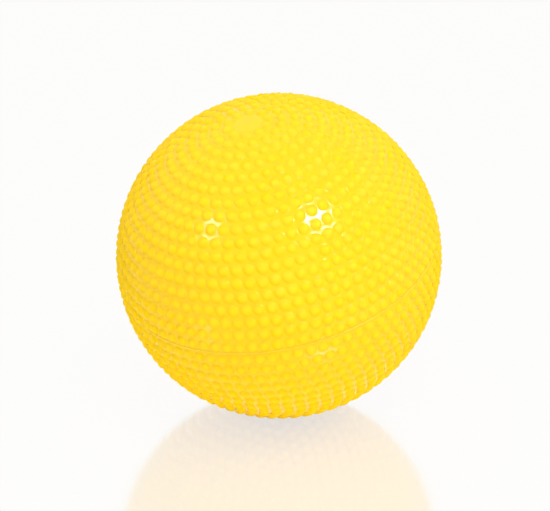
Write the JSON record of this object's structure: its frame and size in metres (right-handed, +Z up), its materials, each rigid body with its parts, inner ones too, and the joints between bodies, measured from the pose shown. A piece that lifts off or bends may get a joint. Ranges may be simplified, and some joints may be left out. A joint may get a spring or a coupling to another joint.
{
  "type": "sensory ball",
  "caption": "Hollow soft ball covered in rows of small domed nubs, with a weld line round its middle and a pull-out air plug at one pole.",
  "frame": {"origin": "centre of the ball", "axes": "+Z straight up from the level floor that the ball lies on; the ball leans over, so its pole axis is 16.4 degrees from Z, leaning towards -X and -Y"},
  "size_m": [0.1799, 0.1799, 0.18],
  "materials": {
    "yellow_vinyl": "glossy soft vinyl",
    "weld_vinyl": "glossy soft vinyl",
    "seat_vinyl": "satin soft vinyl",
    "plug_plastic": "waxy natural polyethylene"
  },
  "bodies": {
    "ball": {"upper_half": "yellow_vinyl", "lower_half": "yellow_vinyl", "seam_weld": "weld_vinyl", "valve_seat": "seat_vinyl"},
    "plug": {"valve_plug": "plug_plastic"}
  },
  "joints": [
    {"name": "plug_slide", "type": "slide", "parent": "ball", "child": "plug", "axis": [0.1904, 0.2085, -0.9593], "range_m": [0, 0.012]}
  ]
}
